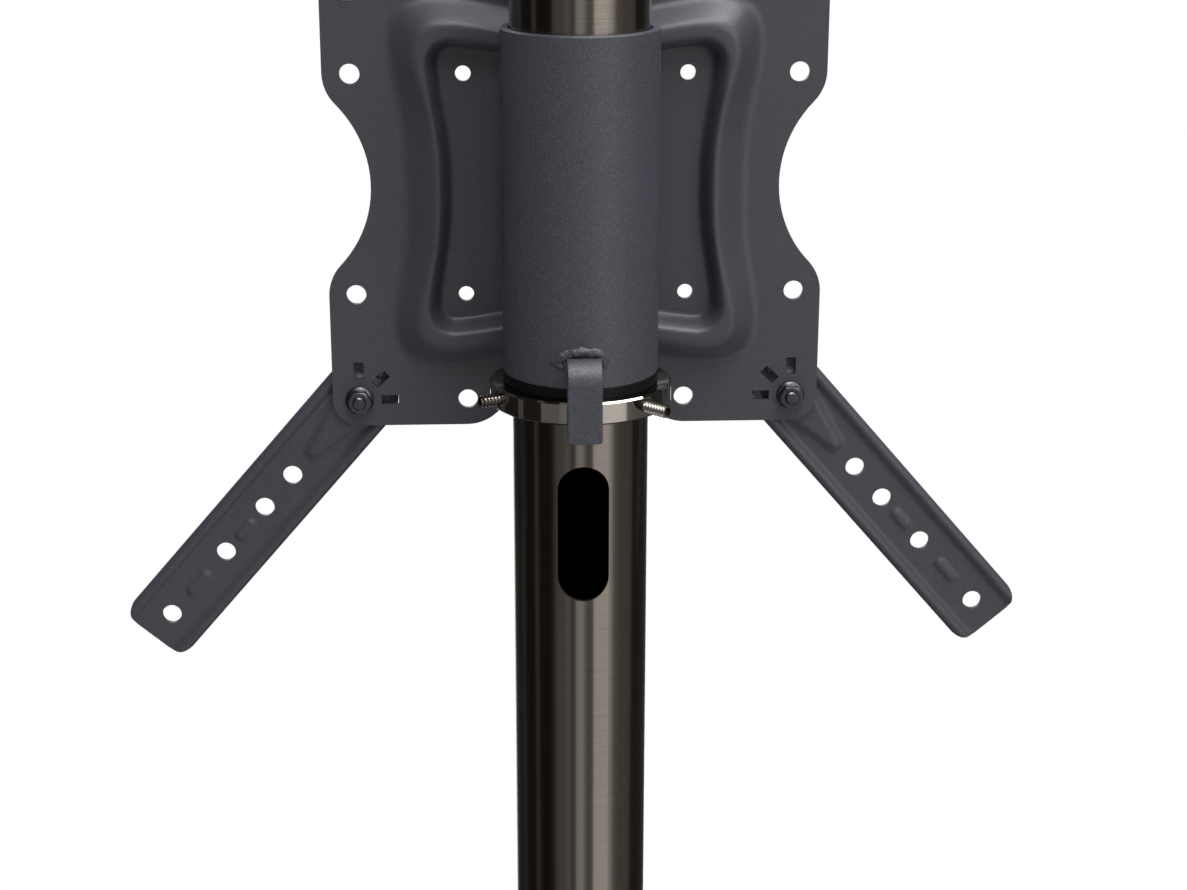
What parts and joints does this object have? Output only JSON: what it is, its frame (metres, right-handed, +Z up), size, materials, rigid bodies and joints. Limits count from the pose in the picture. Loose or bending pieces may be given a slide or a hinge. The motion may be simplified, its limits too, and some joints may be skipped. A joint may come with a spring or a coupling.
{
  "type": "tv floor stand",
  "caption": "Floor stand for a television: plate and swing-out arms on a swivelling sleeve, held at any height on a tube pole by a clamped collar.",
  "frame": {"origin": "on the floor, under the pole's axis", "axes": "+Z up the pole, -Y towards the television, +X to the right as seen from the television's side"},
  "size_m": [0.6, 0.42, 1.5],
  "materials": {
    "powder_coat": "charcoal fine-texture powder coat",
    "base_coat": "black fine-texture powder coat",
    "brushed_black_nickel": "brushed round the tube, black nickel",
    "polished_black_nickel": "polished black nickel",
    "bright_steel": "bright zinc plated",
    "dark_zinc": "dark zinc plated",
    "nylon": "moulded black nylon",
    "rubber": "moulded black rubber"
  },
  "bodies": {
    "stand": {"base_plate": "base_coat", "rubber_feet": "rubber", "feet_screws": "bright_steel", "pole_foot": "bright_steel", "base_screws": "bright_steel", "base_cover": "polished_black_nickel", "pole": "brushed_black_nickel", "pole_cap": "nylon"},
    "height_collar": {"collar_ring": "polished_black_nickel", "thrust_washer": "nylon"},
    "screw_left": {"set_screw_left": "bright_steel"},
    "screw_right": {"set_screw_right": "bright_steel"},
    "mount_head": {"sleeve": "powder_coat", "stop_strap": "powder_coat", "strap_weld": "powder_coat", "sleeve_welds": "powder_coat", "vesa_plate": "powder_coat", "pivot_bolts": "dark_zinc", "pivot_nuts": "dark_zinc", "pivot_washers": "bright_steel"},
    "arm_top_left": {"arm_top_left": "powder_coat"},
    "arm_top_right": {"arm_top_right": "powder_coat"},
    "arm_bottom_left": {"arm_bottom_left": "powder_coat"},
    "arm_bottom_right": {"arm_bottom_right": "powder_coat"}
  },
  "joints": [
    {"name": "height_slide", "type": "slide", "parent": "stand", "child": "height_collar", "axis": [0, 0, 1], "range_m": [-0.35, 0.15]},
    {"name": "swivel", "type": "hinge", "parent": "height_collar", "child": "mount_head", "pos_m": [0, 0, 1.1768], "axis": [0, 0, 1], "range_deg": [-52, 29]},
    {"name": "set_screw_left_travel", "type": "slide", "parent": "height_collar", "child": "screw_left", "axis": [-0.6947, 0.7193, 0], "range_m": [0, 0.003]},
    {"name": "set_screw_right_travel", "type": "slide", "parent": "height_collar", "child": "screw_right", "axis": [0.9205, 0.3907, 0], "range_m": [0, 0.003]},
    {"name": "arm_top_left_pivot", "type": "hinge", "parent": "mount_head", "child": "arm_top_left", "pos_m": [-0.1, -0.0498, 1.35], "axis": [0, -1, 0], "range_deg": [-49, 41]},
    {"name": "arm_top_right_pivot", "type": "hinge", "parent": "mount_head", "child": "arm_top_right", "pos_m": [0.1, -0.0498, 1.35], "axis": [0, 1, 0], "range_deg": [-49, 41]},
    {"name": "arm_bottom_left_pivot", "type": "hinge", "parent": "mount_head", "child": "arm_bottom_left", "pos_m": [-0.1, -0.0498, 1.15], "axis": [0, -1, 0], "range_deg": [-49, 41]},
    {"name": "arm_bottom_right_pivot", "type": "hinge", "parent": "mount_head", "child": "arm_bottom_right", "pos_m": [0.1, -0.0498, 1.15], "axis": [0, 1, 0], "range_deg": [-49, 41]}
  ]
}
